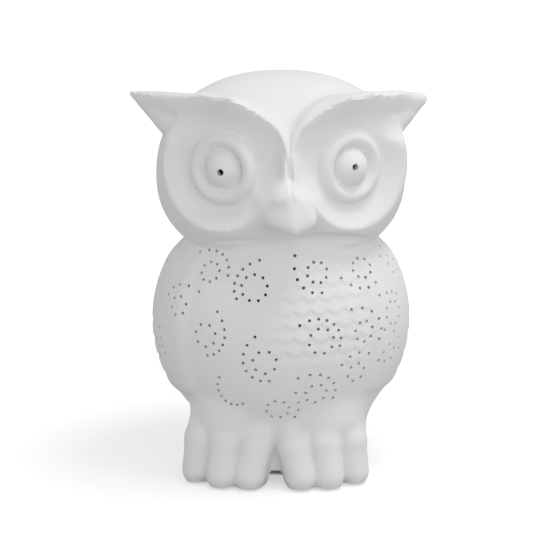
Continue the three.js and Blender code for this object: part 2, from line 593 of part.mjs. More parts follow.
// A round tray, open at the top, round a battery bay that opens downwards.
function traySolid() {
  const floor = disc(TRAY_RADIUS, TRAY_Z, TRAY_FLOOR_TOP);
  const wall = ring(TRAY_RADIUS, TRAY_INNER, TRAY_Z, TRAY_TOP);
  const bayBox = block(-BAY.halfWidth - 1.5, BAY.halfWidth + 1.5, -BAY.halfLength - 1.5, BAY.halfLength + 1.5,
    TRAY_FLOOR_TOP - 1, ROOF_TOP);
  const inside = disc(TRAY_RADIUS - 1, TRAY_Z, TRAY_TOP);
  const boardRibs = [-1, 1].map((side) => block(side * 15 - 1, side * 15 + 1, -14, 14,
    ROOF_TOP - 0.5, ROOF_TOP + TRAY.boardRib));
  const bosses = bossPlaces().map(([x, y]) => rod(BOSS_RADIUS, TRAY_FLOOR_TOP - 0.5, TRAY_TOP).translate(x, y, 0));
  const lugs = LUG_ANGLES.map((angle) => ringPiece(TRAY_RADIUS + LUG.reach, TRAY_RADIUS - 1,
    angle - LUG.halfAngle, angle + LUG.halfAngle, LUG_Z, LUG_Z + LUG.height));
  return cutBy(joined(floor, wall, bayBox.intersect(inside), ...boardRibs, ...bosses, ...lugs), ...trayCuts());
}

function doorSolid() {
  const leaf = block(-DOOR_SIZE.halfWidth, DOOR_SIZE.halfWidth, DOOR_SIZE.front, PIN_Y,
    PIN_Z - DOOR.pinRadius, PIN_Z - DOOR.pinRadius + DOOR.thickness);
  const knuckle = crossRod(DOOR.pinRadius, -BAY.halfWidth - DOOR.pinLength + 0.4,
    BAY.halfWidth + DOOR.pinLength - 0.4, PIN_Y, PIN_Z);
  const ribs = [-1, 0, 1].map((i) => block(-6, 6, DOOR_SIZE.front + 5 + i * 2.2, DOOR_SIZE.front + 6 + i * 2.2,
    PIN_Z - DOOR.pinRadius - 0.5, PIN_Z));
  return joined(leaf, knuckle, ...ribs);
}

function cellGeometry() {
  const { radius, length, nubRadius, nub } = CELL;
  const profile = [
    [0, 0], [radius - 0.5, 0], [radius, 0.5], [radius, length - 0.8], [radius - 0.8, length],
    [nubRadius, length], [nubRadius, length + nub], [0, length + nub],
  ].map(([r, z]) => new THREE.Vector2(r, z));
  return new THREE.LatheGeometry(profile, 20);
}

class Helix extends THREE.Curve {
  getPoint(t, target = new THREE.Vector3()) {
    const a = 2 * Math.PI * SPRING.turns * t;
    const radius = SPRING.radius * (1 - 0.35 * t);
    return target.set(radius * Math.cos(a), t * (SPRING.length - 2 * SPRING.wire), radius * Math.sin(a));
  }
}

const ledSolid = () => joined(
  block(-LED.size / 2, LED.size / 2, -LED.size / 2, LED.size / 2, 0, LED.height),
  turned([[0, LED.height - 0.2], [LED.lens, LED.height - 0.2], [LED.lens, LED.height + 0.4],
    [LED.lens * 0.75, LED.height + 1.2], [0, LED.height + 1.6]], 16),
);

function diffuserSolid() {
  const { wall, height, flangeThickness } = DIFFUSER;
  const arc = (radius, tall, count) => Array.from({ length: count + 1 }, (_, i) => {
    const a = (Math.PI / 2) * (i / count);
    return [radius * Math.cos(a) ** 0.7, DIFFUSER_Z + flangeThickness + tall * Math.sin(a)];
  });
  const outside = arc(DOME_RADIUS, height, 8);
  const inside = arc(DOME_RADIUS - wall, height - wall, 8).reverse();
  outside[8][0] = 0;
  inside[0][0] = 0;
  const skirt = BOARD_TOP + GAP; // the skirt holds the board down
  const profile = [
    [DOME_RADIUS - wall, skirt], [DOME_RADIUS, skirt], [DOME_RADIUS, DIFFUSER_Z], [TRAY_RADIUS - 0.2, DIFFUSER_Z],
    [TRAY_RADIUS - 0.2, DIFFUSER_Z + flangeThickness], ...outside, ...inside, [DOME_RADIUS - wall, skirt],
  ];
  const holes = bossPlaces().map(([x, y]) =>
    rod(SCREW.radius + GAP, DIFFUSER_Z - 1, DIFFUSER_Z + flangeThickness + 1).translate(x, y, 0));
  return cutBy(turned(profile), ...holes);
}

const screwSolid = () => {
  const seat = DIFFUSER_Z + DIFFUSER.flangeThickness + GAP;
  return turned([
    [0, seat - SCREW.length], [SCREW.radius * 0.5, seat - SCREW.length], [SCREW.radius, seat - SCREW.length + 1],
    [SCREW.radius, seat], [SCREW.headRadius, seat], [SCREW.headRadius, seat + SCREW.headHeight * 0.6],
    [SCREW.headRadius * 0.6, seat + SCREW.headHeight], [0, seat + SCREW.headHeight],
  ], 16);
};

// ---------------------------------------------------------------- the assembly
const owl = new THREE.Group();
owl.position.set(FRAME_SHIFT.x * STRETCH.x, FRAME_SHIFT.y * STRETCH.y, 0);

add(owl, "porcelain_shell", shellSolid(), PORCELAIN);

const core = new THREE.Group();
core.position.set(0, CORE_Y, 0);
owl.add(core);

equalAngles(4, 45).forEach((angle, i) => {
  const [x, y] = polar(RECESS_RADIUS + PAD.radius + 0.8, angle);
  add(core, `felt_pad_${i + 1}`, disc(PAD.radius, 0, PAD.thickness, 24), FELT, [x, y, 0]);
});
add(core, "foam_gasket",
  ring(FLANGE_RADIUS - 0.5, MOUTH_RADIUS + 0.5, FLANGE_TOP_Z + GAP, UNDERSIDE_Z - GAP), FOAM);
add(core, "bayonet_collar", collarSolid(), WHITE_ABS);
add(core, "battery_tray", traySolid(), WHITE_ABS);
add(core, "battery_door", doorSolid(), WHITE_ABS);

// Cells lie side by side and point to and fro; each touches a spring at its flat end.
const FRONT_WALL = -BAY.halfLength + GAP;
for (let i = 0; i < CELL_COUNT; i++) {
  const way = i % 2 === 0 ? 1 : -1; // 1 has the nub towards +Y
  const springSeat = way * (FRONT_WALL + PLATE.thickness + GAP + SPRING.wire);
  const flatEnd = way * (FRONT_WALL + PLATE.thickness + SPRING.length + 2 * GAP);
  const cell = add(core, `cell_${i + 1}`, cellGeometry(), CELL_JACKET, [cellX(i), flatEnd, CELL_Z]);
  cell.rotation.x = way === 1 ? 0 : Math.PI;
  const spring = add(core, `contact_spring_${i + 1}`, swept(new Helix(), SPRING.wire, 42, 6), STEEL,
    [cellX(i), springSeat, CELL_Z]);
  spring.rotation.x = way === 1 ? 0 : Math.PI;
}
const contactPlate = (x0, x1, y) => block(x0 - PLATE.width / 2, x1 + PLATE.width / 2,
  y - PLATE.thickness / 2, y + PLATE.thickness / 2, CELL_Z - PLATE.height / 2, CELL_Z + PLATE.height / 2);
const tabTop = ROOF_TOP + PLATE.tabRise;
const endContact = ([x, y]) => joined(contactPlate(x, x, y), block(x - PLATE.tab / 2, x + PLATE.tab / 2,
  y - PLATE.thickness / 2, y + PLATE.thickness / 2, CELL_Z, tabTop));
add(core, "end_contact_negative", endContact(TABS[0]), STEEL);
add(core, "bridge_contact_front", contactPlate(cellX(1), cellX(2), -PLATE_Y), STEEL);
add(core, "bridge_contact_rear", contactPlate(cellX(0), cellX(1), PLATE_Y), STEEL);
add(core, "end_contact_positive", endContact(TABS[1]), STEEL);

// The slide switch beside the battery bay, worked from under the owl.
add(core, "switch_body", block(SWITCH_X - SWITCH.width / 2, SWITCH_X + SWITCH.width / 2,
  -SWITCH.length / 2, SWITCH.length / 2, SWITCH_Z, SWITCH_Z + SWITCH.height), BLACK_ABS);
add(core, "switch_knob", block(SWITCH_X - SWITCH.knobWidth / 2, SWITCH_X + SWITCH.knobWidth / 2,
  -(SWITCH.knobLength + SWITCH.travel) / 2, (SWITCH.knobLength - SWITCH.travel) / 2,
  TRAY_Z - SWITCH.knobDrop, SWITCH_Z - GAP), BLACK_ABS);

// The lamp: board, chips and their cover.
add(core, "led_board", disc(BOARD.radius, BOARD_Z, BOARD_TOP), BOARD_MASK);
equalAngles(LED.count, 45).forEach((angle, i) => {
  const [x, y] = polar(LED.ring, angle);
  add(core, `led_${i + 1}`, ledSolid(), LED_LENS, [x, y, BOARD_TOP + GAP]);
});
add(core, "driver_chip", block(-DRIVER_CHIP.length / 2, DRIVER_CHIP.length / 2, -DRIVER_CHIP.width / 2,
  DRIVER_CHIP.width / 2, BOARD_TOP + GAP, BOARD_TOP + GAP + DRIVER_CHIP.height), BLACK_ABS);
add(core, "diffuser_dome", diffuserSolid(), OPAL);
bossPlaces().forEach(([x, y], i) => {
  add(core, `diffuser_screw_${i + 1}`, screwSolid(), STEEL, [x, y, 0]);
});

// Leads run from tab to board, from tab to switch and from switch to board, each soldered at both ends.
function lead(name, points, look) {
  const curve = new THREE.CatmullRomCurve3(points.map((p) => new THREE.Vector3(...p)), false, "centripetal");
  add(core, name, swept(curve, LEAD_RADIUS, 20), look);
}
const LEAD_TOP = BOARD_Z - GAP - 0.1;
const beside = LEAD_RADIUS + PLATE.thickness / 2 + GAP; // from the middle of a tab to the lead on its face
const switchTop = SWITCH_Z + SWITCH.height + GAP;
lead("black_lead", [
  [TABS[0][0], TABS[0][1] + beside, tabTop - 0.6], [TABS[0][0], TABS[0][1] + beside + 1.5, tabTop - 0.6],
  [TABS[0][0] + 1.5, -18, ROOF_TOP + 1.1], [cellX(0) + 3, -15, ROOF_TOP + 1.3], [cellX(0) + 4, -13, LEAD_TOP],
], BLACK_LEAD);
lead("red_lead_to_switch", [
  [TABS[1][0], TABS[1][1] + beside, tabTop - 0.6], [TABS[1][0] + 3, TABS[1][1] + beside + 0.6, tabTop - 0.4],
  [19, 25, tabTop - 0.6], [23, 19, 17], [SWITCH_X + 1, 11, 14.5], [SWITCH_X, 4.5, 13.6], [SWITCH_X, 3, switchTop],
], RED_LEAD);
lead("red_lead_to_board", [
  [SWITCH_X, -3, switchTop], [SWITCH_X, -4.5, switchTop + 3], [SWITCH_X - 1, -7.5, ROOF_TOP + 0.8],
  [19.5, -9, ROOF_TOP + 1.2], [18.2, -9.6, ROOF_TOP + 1.3], [17.6, -9.8, LEAD_TOP],
], RED_LEAD);

export default owl;
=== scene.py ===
"""A pierced bisque porcelain owl, with the battery light unit that twists into its open base."""
import json
import math

import bpy
import numpy as np
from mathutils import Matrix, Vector


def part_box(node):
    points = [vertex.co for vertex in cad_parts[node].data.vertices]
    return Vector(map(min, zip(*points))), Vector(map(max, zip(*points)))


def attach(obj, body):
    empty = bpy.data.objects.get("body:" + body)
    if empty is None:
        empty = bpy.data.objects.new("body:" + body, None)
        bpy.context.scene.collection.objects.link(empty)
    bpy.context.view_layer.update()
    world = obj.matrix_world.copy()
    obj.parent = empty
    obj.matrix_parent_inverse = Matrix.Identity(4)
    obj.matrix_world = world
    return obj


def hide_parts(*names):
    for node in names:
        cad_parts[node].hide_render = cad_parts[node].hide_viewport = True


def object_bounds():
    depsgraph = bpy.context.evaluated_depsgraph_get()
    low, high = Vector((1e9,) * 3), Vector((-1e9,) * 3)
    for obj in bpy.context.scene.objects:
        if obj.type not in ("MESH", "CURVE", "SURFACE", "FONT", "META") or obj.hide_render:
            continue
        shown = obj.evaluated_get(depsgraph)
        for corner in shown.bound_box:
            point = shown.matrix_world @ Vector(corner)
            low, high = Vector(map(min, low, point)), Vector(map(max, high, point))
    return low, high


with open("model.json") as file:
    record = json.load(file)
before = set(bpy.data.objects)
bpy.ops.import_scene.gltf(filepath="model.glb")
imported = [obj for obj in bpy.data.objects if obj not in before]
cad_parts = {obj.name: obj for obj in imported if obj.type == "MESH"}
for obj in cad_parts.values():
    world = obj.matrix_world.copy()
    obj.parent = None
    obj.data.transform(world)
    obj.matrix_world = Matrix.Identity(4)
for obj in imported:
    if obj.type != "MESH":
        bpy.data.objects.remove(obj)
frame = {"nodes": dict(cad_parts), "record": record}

CAD_BOX = [list(corner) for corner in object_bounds()]
MM = 0.001

# ------------------------------------------------------------------ places and sizes, from the frame
COLLAR_LOW, COLLAR_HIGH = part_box("bayonet_collar")
GASKET_LOW, GASKET_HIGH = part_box("foam_gasket")
PADS = [f"felt_pad_{i}" for i in range(1, 5)]

# The owl is sculpted in millimetres about its own middle, and the mouth's axis is CORE_Y behind that.
CORE_Y = 4.0
SHIFT_X = (COLLAR_LOW[0] + COLLAR_HIGH[0]) / 2 / MM
SHIFT_Y = (COLLAR_LOW[1] + COLLAR_HIGH[1]) / 2 / MM - CORE_Y
RIM_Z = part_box("porcelain_shell")[0][2] / MM
GAP = 0.3
WALL = 5.0
UNDERSIDE_Z = GASKET_HIGH[2] / MM + GAP
FLOOR_TOP_Z = UNDERSIDE_Z + WALL
MOUTH_RADIUS = 38.0
RECESS_RADIUS = 43.5

# ------------------------------------------------------------------ the sculpted sizes, in millimetres
HEAD_TURN = math.radians(-2.6)  # the head looks a little to the owl's right
FEET_TURN = math.radians(-8.0)
FEET_X = -3.0
DISH_CENTRE = (44.5, -55.8, 209.3)
DISH_YAW = math.radians(30.0)
DISH_RADIUS = 40.5
DISH_DEPTH = 14.0
BOWL_RADIUS = (DISH_RADIUS ** 2 + DISH_DEPTH ** 2) / (2 * DISH_DEPTH)
BALL_RADIUS = 14.0
BALL_SINK = 1.2  # the eyeball's middle is below the deepest point of the dish
PUPIL_YAW = math.radians(22.0)
ARCH_HEIGHT = 9.0
FAN_Z = 206.0  # rays are level below this height and fan out above it
# Ellipsoids as a centre and three radii. Round cones as a row of (x, y, z, radius) points.
BELLY = (0, 2, 101), (83.3, 71.5, 84)
BREAST = (0, -16, 130), (50, 48, 60)
TAIL = (0, 50, 46), (21, 24, 34)
WING_HEIGHT = 2.2
LEG_DEPTH = 50.0
HORN = [(41, -19, 230, 24), (70, -14, 239.5, 13.5)]
BROW = [
    (4.3, -78.7, 198, 3.8), (5.2, -79, 206, 4.4), (7.8, -79, 215, 5.2), (14.8, -74.5, 227, 6.4),
    (22.5, -67.5, 238.5, 8.6), (36, -57, 246, 9.2), (52, -44, 248.5, 8), (72, -28, 249.5, 6),
]
BRIDGE = [(0, -69, 186, 7), (0, -64, 216, 5)]
TOES = [
    [(8.5, -33, 51, 9.5), (12.3, -46.5, 28, 11.1), (16.8, -50.5, 8.6, 11)],
    [(28, -31, 53, 9.4), (32.2, -44.5, 29, 10.6), (34.4, -48.2, 8.2, 10.6)],
    [(44.5, -24, 52, 9), (48.8, -36.5, 29, 10.2), (51, -38.5, 8, 10)],
]


# ------------------------------------------------------------------ fields: distance in mm, below 0 inside
def smooth(low, high, t):
    """0 below low, 1 above high, and 3t^2 - 2t^3 between."""
    t = np.clip((t - low) / (high - low), 0, 1)
    return t * t * (3 - 2 * t)


def blend(a, b, k):
    """Union of two fields with a fillet about k wide: the smaller, less k h (1 - h) where they are close."""
    h = np.clip(0.5 + 0.5 * (b - a) / k, 0, 1)
    return b + (a - b) * h - k * h * (1 - h)


def common(a, b, k):
    """Where both fields are inside, with the edge rounded about k wide. common(a, -b, k) cuts b out of a."""
    return -blend(-a, -b, k)


def ellipsoid(x, y, z, centre, radii):
    """Scaled radius k from the centre, as k (k - 1) over its gradient, which is near the distance."""
    X, Y, Z = [(v - c) / r for v, c, r in zip((x, y, z), centre, radii)]
    k = np.sqrt(X * X + Y * Y + Z * Z)
    slope = np.sqrt((X / radii[0]) ** 2 + (Y / radii[1]) ** 2 + (Z / radii[2]) ** 2) + 1e-9
    return k * (k - 1) / slope


def round_cones(x, y, z, points, k=0.01):
    """Distance to each segment between (x, y, z, radius) points, less the radius at the nearest point."""
    found = None
    for (ax, ay, az, ra), (bx, by, bz, rb) in zip(points[:-1], points[1:]):
        dx, dy, dz = bx - ax, by - ay, bz - az
        length_sq = dx * dx + dy * dy + dz * dz
        t = np.clip(((x - ax) * dx + (y - ay) * dy + (z - az) * dz) / length_sq, 0, 1)
        gap = np.sqrt((x - ax - t * dx) ** 2 + (y - ay - t * dy) ** 2 + (z - az - t * dz) ** 2)
        cone = gap - ra - (rb - ra) * t
        found = cone if found is None else blend(found, cone, k)
    return found


def turned(x, y, angle):
    """x and y turned by -angle about Z."""
    return x * math.cos(angle) + y * math.sin(angle), -x * math.sin(angle) + y * math.cos(angle)


def trunk_field(x0, y, z):
    """An egg-shaped belly with a full breast, a low flat wing each side, a tail lobe and a leg block."""
    x = np.abs(x0)
    around = np.degrees(np.arctan2(x, -(y - 2)))
    front = np.where(x0 < 0, 54.0, 41.0)
    low_edge = 57 - 13 * smooth(50, 140, around)
    wing = (smooth(front, front + 8, around) * smooth(low_edge, low_edge + 7, z) * (1 - smooth(143, 158, z))
            * (1 - smooth(166, 174, around)))
    belly = ellipsoid(x, y, z, *BELLY) - WING_HEIGHT * wing
    half_width = 56 - 5 * smooth(15, 40, z) * (x0 < 0)
    round_ = ((x / half_width) ** 3 + (np.abs(y - CORE_Y) / LEG_DEPTH) ** 3 + 1e-9) ** (1 / 3)
    legs = (round_ - 1) * LEG_DEPTH
    body = blend(blend(belly, ellipsoid(x, y, z, *BREAST), 6), ellipsoid(x, y, z, *TAIL), 5)
    return blend(body, common(legs, z - 56, 10), 9)


def from_dish(x, y, z):
    """Distance along the axis of a dish from its centre, and out from that axis."""
    ax, ay = math.sin(DISH_YAW), -math.cos(DISH_YAW)
    qx, qy, qz = x - DISH_CENTRE[0], y - DISH_CENTRE[1], z - DISH_CENTRE[2]
    along = qx * ax + qy * ay
    return along, np.sqrt(np.maximum(qx * qx + qy * qy + qz * qz - along * along, 1e-9))


def dish_angle(x, y, z):
    """Angle round the axis of a dish, anticlockwise from the outer side."""
    sideways = (x - DISH_CENTRE[0]) * math.cos(DISH_YAW) + (y - DISH_CENTRE[1]) * math.sin(DISH_YAW)
    return np.arctan2(z - DISH_CENTRE[2], sideways)


def skull_field(x, y, z, side):
    """A superellipsoid, (k - 1) times its mean radius, and a saucer, an ellipsoid, behind each dish.

    side is 1 on the owl's right and -1 on its left.
    """
    power, middle_z = 2.25, 197
    high = np.where(z > middle_z, 67.5, 58.0)
    k = (np.abs(x / (80.9 + 0.6 * side)) ** power + np.abs((y - 1.5) / 67.5) ** power
         + np.abs((z - middle_z) / high) ** power + 1e-12) ** (1 / power)
    along, out = from_dish(x, y, z)
    wide, deep = 46, 23
    s = np.sqrt((out / wide) ** 2 + ((along + 15) / deep) ** 2)
    slope = np.sqrt((out / wide ** 2) ** 2 + ((along + 15) / deep ** 2) ** 2) + 1e-9
    return blend((k - 1) * 68, s * (s - 1) / slope, 4)


def beak_field(xr, y, z):
    """Two flat cheeks that meet in a front ridge, widen downwards and end in blunt corners over the tip."""
    x = np.abs(xr)
    cheeks = (-y - 87 + 0.17 * (z - 175) + 0.5 * np.sqrt(x * x + 9)) / 1.13
    sides = (x - 8.5 - 0.46 * (200 - z)) / 1.1
    under = (171 + 0.36 * np.abs(xr - 3) - z) / 1.06
    wedge = common(common(cheeks, sides, 5), common(under, z - 200.5, 4), 9)
    return common(wedge, y + 60, 2)


def eye_field(x, y, z):
    """A ball sunk in a raised ring, both about the axis of the dish."""
    along, out = from_dish(x, y, z)
    up = along + DISH_DEPTH
    ring = np.sqrt((out - 18.2) ** 2 + ((up - 3.2) / 1.25) ** 2) - 4.8
    ball = np.sqrt(out ** 2 + (up + BALL_SINK) ** 2) - BALL_RADIUS
    return blend(ring, ball, 0.5)


def head_field(x0, y0, z):
    """Skull, horns and brows, less the dishes, the hollows under the horns and the slit between the brows."""
    xr, y = turned(x0, y0, HEAD_TURN)
    x = np.abs(xr)
    side = np.where(xr < 0, 1.0, -1.0)
    tip = (92.5 + 4.5 * side, -8, 248.9 + 3.1 * side, 4.6 - 1.2 * side)
    head = skull_field(x, y, z, side)
    head = blend(head, round_cones(x, y, z, HORN + [tip], 3), 5)
    brow_end = (tip[0] - 1, -9, tip[2], tip[3])
    head = blend(head, round_cones(x, y, z, BROW + [brow_end], 2), 1.6)
    along, out = from_dish(x, y, z)
    inner_top = np.exp(-((dish_angle(x, y, z) - math.radians(135)) / 0.5) ** 2)
    out = out * (1 + 0.08 * inner_top)
    bowl = np.hypot(along - (BOWL_RADIUS - DISH_DEPTH), out) - BOWL_RADIUS
    head = common(head, -bowl, 1.0)
    under_horn = [(40, -92, 221, 45), (66, -68, 232, 30), (tip[0] + 6, -32, tip[2] - 4, 15)]
    head = common(head, -round_cones(x, y, z, under_horn, 3), 1.5)
    head = blend(head, round_cones(x, y, z, BRIDGE), 2)
    slit = np.maximum(np.maximum(x - 1.6 - 0.05 * (z - 203), 204 - z), y + 68.5)
    head = common(head, -slit, 0.8)
    head = blend(head, beak_field(xr, y, z), 1.8 + 7 * (1 - smooth(-9, 3, xr)))
    return blend(head, eye_field(x, y, z), 0.8)


def feet_field(x0, y0, z):
    """Six toes, as rounded cones from the thigh down to the surface."""
    fx, y = turned(x0 - FEET_X, y0, FEET_TURN)
    toes = None
    for toe in TOES:
        one = round_cones(np.abs(fx), y, z, toe, 3)
        toes = one if toes is None else blend(toes, one, 0.6)
    return toes


def throat_field(x, y, z):
    """A tube on an ellipse round the front of the neck, deepest below the beak, which thins to the sides."""
    around = np.degrees(np.arctan2(x, -y))
    thick = 3.5 * np.exp(-((around - 20) / 18) ** 2) + 2.5
    height = 163.5 - 9 * smooth(30, 80, np.abs(around))
    return np.hypot(np.hypot(x / 1.16, y) - 59.5, z - height) - thick * (1 - smooth(45, 80, np.abs(around)))


def owl_field(x, y, z):
    """The whole owl: trunk and head with a groove under the chin, thighs and toes."""
    whole = blend(trunk_field(x, y, z), head_field(x, y, z), 2.5)
    whole = common(whole, -throat_field(x, y, z), 1.5)
    fx, fy = turned(x - FEET_X, y, FEET_TURN)
    across = np.where(fx < 0, 23.0, 27.5)
    whole = blend(whole, ellipsoid(np.abs(fx), fy, z, (30, -28, 44), (across, 25, 26)), 8)
    return blend(whole, feet_field(x, y, z), 4)


def march(start, way, first):
    """Steps in along each ray by 0.6 of the field's value until it is at the surface, and gives the reach."""
    reach = np.full(len(start), float(first))
    active = np.arange(len(start))
    for _ in range(90):
        at = start[active] + reach[active, None] * way[active]
        value = owl_field(at[:, 0], at[:, 1], at[:, 2])
        reach[active] -= np.clip(value, -2, 40) * 0.6
        active = active[np.abs(value) > 0.015]
        if len(active) == 0:
            break
    return reach


# ------------------------------------------------------------------ the shell as a grid of rays
COLUMNS = 330
BODY_ROWS = 140
CROWN_ROWS = 74


def column_angles(count):
    """Angles round the core, from the front towards +X, with the columns closer together at the front."""
    u = 2 * math.pi * np.arange(count) / count
    return u - 0.5 * np.sin(u)


def arch_rise(angles):
    """Height of the notch between the feet over the rim."""
    off = np.degrees((angles + math.radians(11) + math.pi) % (2 * math.pi) - math.pi)
    return ARCH_HEIGHT * (1 - smooth(3.5, 8, np.abs(off)))


def ray_grid(angles, finer=1):
    """Start and direction of each ray: level on the body, dipping under the chin, fanned at the crown."""
    rise = arch_rise(angles)
    t = np.arange(BODY_ROWS * finer)[:, None] / (BODY_ROWS * finer)
    z = RIM_Z + rise + (FAN_Z - RIM_Z - rise) * t
    dip = -math.radians(24) * np.exp(-((z - 163) / 22) ** 2)
    fan = math.pi / 2 * (np.arange(CROWN_ROWS * finer) / (CROWN_ROWS * finer)) ** 1.15
    start_z = np.vstack([z - 62 * np.tan(dip), np.full((len(fan), len(angles)), FAN_Z)])
    lift = np.vstack([dip, np.repeat(fan[:, None], len(angles), 1)])
    round_ = np.broadcast_to(angles, lift.shape)
    way = np.stack([np.sin(round_) * np.cos(lift), -np.cos(round_) * np.cos(lift), np.sin(lift)], -1)
    start = np.stack([np.zeros_like(start_z), np.zeros_like(start_z), start_z], -1)
    return start, way


def spread(values, times):
    """Values on the grid, averaged 1-2-1 along the rows and the columns a number of times."""
    for _ in range(times):
        values = (np.roll(values, 1, 1) + 2 * values + np.roll(values, -1, 1)) / 4
        ends = np.vstack([values[:1], values, values[-1:]])
        values = (ends[:-2] + 2 * ends[1:-1] + ends[2:]) / 4
    return values


def soft_reach():
    """Reach of every ray, from a grid twice as fine, averaged more where the reach steps under the brows."""
    start, way = ray_grid(column_angles(2 * COLUMNS), 2)
    reach = march(start.reshape(-1, 3), way.reshape(-1, 3), 128).reshape(way.shape[:2])
    step_size = np.abs(np.roll(reach, 1, 1) - np.roll(reach, -1, 1)) + np.abs(np.gradient(reach, axis=0)) * 2
    rough = spread(smooth(1.6, 3.6, step_size), 4)
    softer = spread(reach, 20)
    return (spread(reach, 1) * (1 - rough) + softer * rough)[::2, ::2]


def grid_normals(points):
    """Cross product of the differences along the columns and along the rows, made unit length."""
    across = np.roll(points, -1, 1) - np.roll(points, 1, 1)
    up = np.gradient(points, axis=0)
    normal = np.cross(across, up)
    return normal / (np.linalg.norm(normal, axis=-1, keepdims=True) + 1e-12)


def feather_relief(points):
    """Overlapping round feather tips on the breast: each is a disc that thickens to its lower edge."""
    width, pitch, radius = 11.4, 8.6, 7.2
    angle = np.degrees(np.arctan2(points[..., 0], -points[..., 1]))
    s, z = np.radians(angle) * 70, points[..., 2]
    relief = np.zeros_like(z)
    for row in range(11):
        centre_z = 66 + pitch * row
        shifted = s - (row % 2) * width / 2
        off = shifted - np.round(shifted / width) * width
        inside = 1 - smooth(radius - 0.7, radius + 0.5, np.hypot(off, z - centre_z))
        tip = np.clip(0.5 - (z - centre_z) / (2 * radius), 0, 1)
        relief = relief * (1 - inside) + inside * tip
    shown = (smooth(-26, 0, angle) * (1 - smooth(40, 48, angle)) * smooth(70, 100, z)
             * (1 - smooth(153, 160, z)))
    return 1.25 * shown * (relief - 1)


def dish_relief(points):
    """Fine radial strokes in the outer part of each eye dish, 68 round the axis."""
    x, y = turned(points[..., 0], points[..., 1], HEAD_TURN)
    x, z = np.abs(x), points[..., 2]
    along, out = from_dish(x, y, z)
    phi = dish_angle(x, y, z)
    shown = (smooth(23.5, 27, out) * (1 - smooth(34, 39.5, out)) * (1 - smooth(3, 8, along))
             * smooth(-14, -11, along) * (1 - smooth(0.3, 0.9, phi)))
    return -0.3 * shown * (0.5 + 0.5 * np.cos(68 * phi + 1.5 * np.sin(5 * phi)))


def wing_relief(points):
    """Four long flight-feather grooves that sweep down each wing to the tail, and two on the tail."""
    x, y, z = np.abs(points[..., 0]), points[..., 1], points[..., 2]
    around = np.degrees(np.arctan2(x, -(y - 2)))
    slope = z + 0.22 * (around - 60)
    groove = np.zeros_like(z)
    for level in (72, 84, 96, 108):
        groove += np.exp(-((slope - level) / 1.6) ** 2)
    wing = groove * smooth(58 + 0.4 * (z - 60), 84, around) * (1 - smooth(148, 160, around))
    tail = (np.exp(-((x - 7) / 1.5) ** 2) * smooth(150, 160, around) * smooth(16, 24, z)
            * (1 - smooth(58, 70, z)))
    return -0.8 * wing - 1.0 * tail


def shrink(reach, way, start):
    """The cavity: each ray's reach is the least within its neighbourhood, smoothed, less the wall."""
    least = reach.copy()
    for rows in range(-4, 5):
        clamped = np.clip(np.arange(len(reach)) + rows, 0, len(reach) - 1)
        for columns in range(-4, 5):
            least = np.minimum(least, np.roll(reach[clamped], columns, 1))
    return start + (spread(least, 4) - WALL)[..., None] * way


def level_ring(angles, radius, z):
    """A circle of the columns' points about the mouth's axis, at one height or one for each column."""
    x, y = radius * np.sin(angles), CORE_Y - radius * np.cos(angles)
    return np.stack([x, y, np.broadcast_to(z, x.shape)], -1)


def shell_rings():
    """Rings of points from the crown down the outside, under the rim, into the mouth and up the cavity."""
    angles = column_angles(COLUMNS)
    start, way = ray_grid(angles)
    reach = soft_reach()
    outer = start + reach[..., None] * way
    relief = feather_relief(outer) + dish_relief(outer) + wing_relief(outer)
    outer = outer + grid_normals(outer) * relief[..., None]
    cavity = shrink(reach, way, start)
    rows = [row for row in range(0, len(cavity), 5) if cavity[row, 0, 2] > FLOOR_TOP_Z + 4]
    under = np.minimum(RIM_Z + arch_rise(angles), UNDERSIDE_Z)
    base = [
        level_ring(angles, RECESS_RADIUS, under),
        level_ring(angles, RECESS_RADIUS, UNDERSIDE_Z),
        level_ring(angles, MOUTH_RADIUS, UNDERSIDE_Z),
        level_ring(angles, MOUTH_RADIUS, FLOOR_TOP_Z),
    ]
    foot = cavity[rows[0]].copy()
    foot[:, 2] = FLOOR_TOP_Z
    return np.stack([*outer[::-1], *base, foot, *cavity[rows]])


def place(points):
    """Sculpted millimetres to metres in the frame."""
    return (np.asarray(points) + (SHIFT_X, SHIFT_Y, 0)) * MM


# ------------------------------------------------------------------ meshes
def new_piece(name, points, faces, body):
    """A mesh object at the origin that rides on a body, smooth where faces meet at a shallow angle."""
    mesh = bpy.data.meshes.new(name)
    mesh.from_pydata(np.asarray(points).tolist(), [], faces)
    mesh.validate()
    mesh.shade_smooth()
    mesh.set_sharp_from_angle(angle=math.radians(40))
    piece = bpy.data.objects.new(name, mesh)
    bpy.context.scene.collection.objects.link(piece)
    if body:
        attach(piece, body)
    return piece


def ring_faces(rings, columns, first=0):
    """Quads between each ring of points and the next, for rings that run downwards on the outside."""
    row, column = np.meshgrid(np.arange(rings - 1), np.arange(columns), indexing="ij")
    a = first + row * columns + column
    b = first + row * columns + (column + 1) % columns
    return np.stack([a, a + columns, b + columns, b], -1).reshape(-1, 4).tolist()


def capped_rings(rings):
    """Points and faces of a closed surface through rings, with a point at the middle of each end."""
    count, columns = rings.shape[:2]
    points = np.vstack([rings.reshape(-1, 3), rings[0].mean(0), rings[-1].mean(0)])
    here, after = np.arange(columns), (np.arange(columns) + 1) % columns
    last, middle = (count - 1) * columns, count * columns
    first_cap = np.stack([np.full(columns, middle), here, after], -1)
    last_cap = np.stack([np.full(columns, middle + 1), last + after, last + here], -1)
    return points, ring_faces(count, columns) + first_cap.tolist() + last_cap.tolist()


